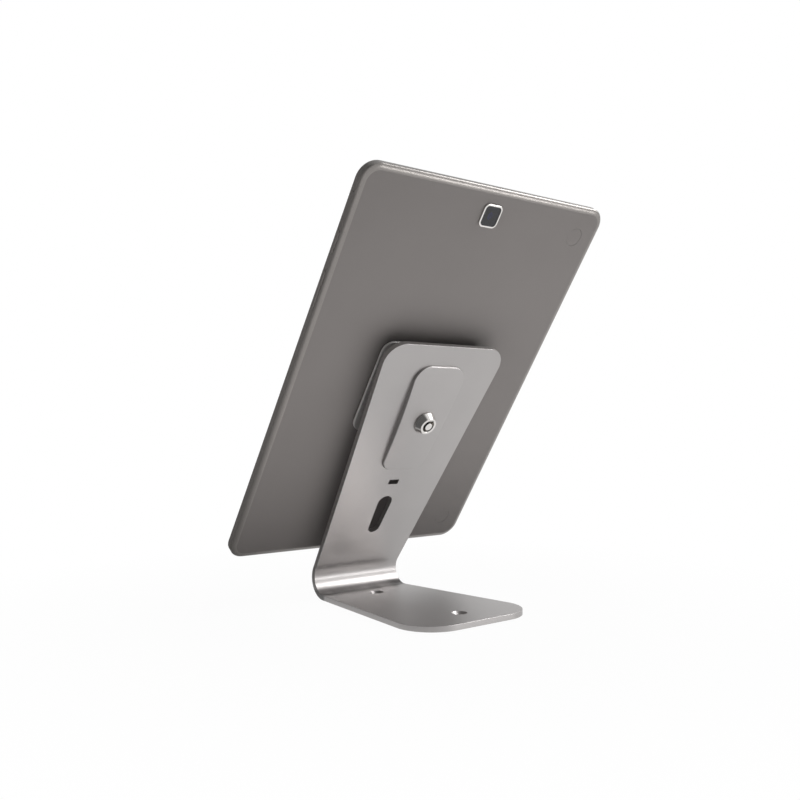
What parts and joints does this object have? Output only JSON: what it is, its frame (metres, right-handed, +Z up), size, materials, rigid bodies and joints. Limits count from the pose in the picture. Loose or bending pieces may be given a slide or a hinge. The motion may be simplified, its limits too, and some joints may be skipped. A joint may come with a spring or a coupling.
{
  "type": "tablet security kiosk stand",
  "caption": "Desk stand of one bent tapered sheet with a key lock on its back, holding a tablet by a bonded plate that slides into a receiver.",
  "frame": {"origin": "midway between the two base screw holes, on the surface that the stand rests on", "axes": "+Z up, the screen looks towards -Y and up, +X to the screen's right; the lock faces +Y and down"},
  "size_m": [0.1695, 0.1373, 0.2268],
  "materials": {
    "stand_sheet": "bead-blasted and clear anodised, satin",
    "lock_cover_metal": "die-cast, blasted, satin clear coat",
    "lock_chrome": "bright nickel-chrome plate",
    "lock_steel": "zinc plated steel",
    "lock_brass": "machined brass",
    "receiver_metal": "die-cast, dark anodised",
    "plate_steel": "stainless sheet, brushed",
    "pad_rubber": "die-cut neoprene",
    "adhesive_foam": "closed-cell acrylic foam tape",
    "tablet_back": "moulded, fine matt soft-touch",
    "tablet_frame": "dark anodised, fine satin",
    "screen_glass": "black-bordered cover glass, polished",
    "screen_panel": "display module",
    "chassis_metal": "stamped magnesium-aluminium",
    "battery_foil": "wrapped pouch cell",
    "board": "glass-epoxy circuit board",
    "tin": "tinned steel",
    "black_plastic": "moulded",
    "camera_rim": "diamond-cut bright rim",
    "camera_cover": "dark coated glass",
    "key_metal": "dark anodised"
  },
  "bodies": {
    "stand": {"stand_frame": "stand_sheet", "base_pad": "pad_rubber", "lock_cover": "lock_cover_metal", "cover_screws": "lock_steel", "lock_housing": "lock_chrome", "lock_washer": "lock_steel", "lock_nut": "lock_steel", "pin_block": "lock_brass", "driver_pins": "lock_brass", "pin_springs": "lock_steel", "receiver": "receiver_metal", "receiver_screws": "lock_steel"},
    "lock_spindle": {"lock_plug": "lock_chrome", "key_pins": "lock_brass", "lock_cam": "lock_steel", "cam_screw": "lock_steel"},
    "tablet": {"tablet_plate": "plate_steel", "plate_rails": "plate_steel", "strike": "lock_steel", "plate_screws": "lock_steel", "adhesive_pad": "adhesive_foam", "back_cover": "tablet_back", "side_frame": "tablet_frame", "display_glass": "screen_glass", "display_panel": "screen_panel", "chassis": "chassis_metal", "chassis_screws": "lock_steel", "battery": "battery_foil", "main_board": "board", "board_shields": "tin", "speakers": "black_plastic", "usb_socket": "tin", "usb_board": "board", "audio_jack": "black_plastic", "camera_ring": "camera_rim", "camera_glass": "camera_cover", "camera_lens": "camera_cover", "rear_camera": "black_plastic", "front_camera": "black_plastic", "key_switches": "black_plastic", "home_switch": "black_plastic", "microphone": "tin", "card_socket": "tin", "latch_studs": "tablet_back"},
    "power_key": {"power_button": "key_metal"},
    "volume_key": {"volume_rocker": "key_metal"},
    "home_key": {"home_button": "key_metal"},
    "tray": {"card_tray": "key_metal"}
  },
  "joints": [
    {"name": "lock_turn", "type": "hinge", "parent": "stand", "child": "lock_spindle", "pos_m": [0, 0.00533, 0.10741], "axis": [0, -0.8251, 0.565], "range_deg": [0, 90]},
    {"name": "tablet_slide", "type": "slide", "parent": "stand", "child": "tablet", "axis": [0, 0.565, 0.8251], "range_m": [0, 0.055]},
    {"name": "power_press", "type": "slide", "parent": "tablet", "child": "power_key", "axis": [-1, 0, 0], "range_m": [0, 0.00025], "stiffness_N_per_m": 800},
    {"name": "volume_tilt", "type": "hinge", "parent": "tablet", "child": "volume_key", "pos_m": [0.0823, 0.02936, 0.17022], "axis": [0, -0.8251, 0.565], "range_deg": [-1, 1], "stiffness_Nm_per_rad": 0.3},
    {"name": "home_press", "type": "slide", "parent": "tablet", "child": "home_key", "axis": [0, 0.8251, -0.565], "range_m": [0, 0.0003], "stiffness_N_per_m": 800},
    {"name": "tray_slide", "type": "slide", "parent": "tablet", "child": "tray", "axis": [-1, 0, 0], "range_m": [0, 0.016]}
  ]
}
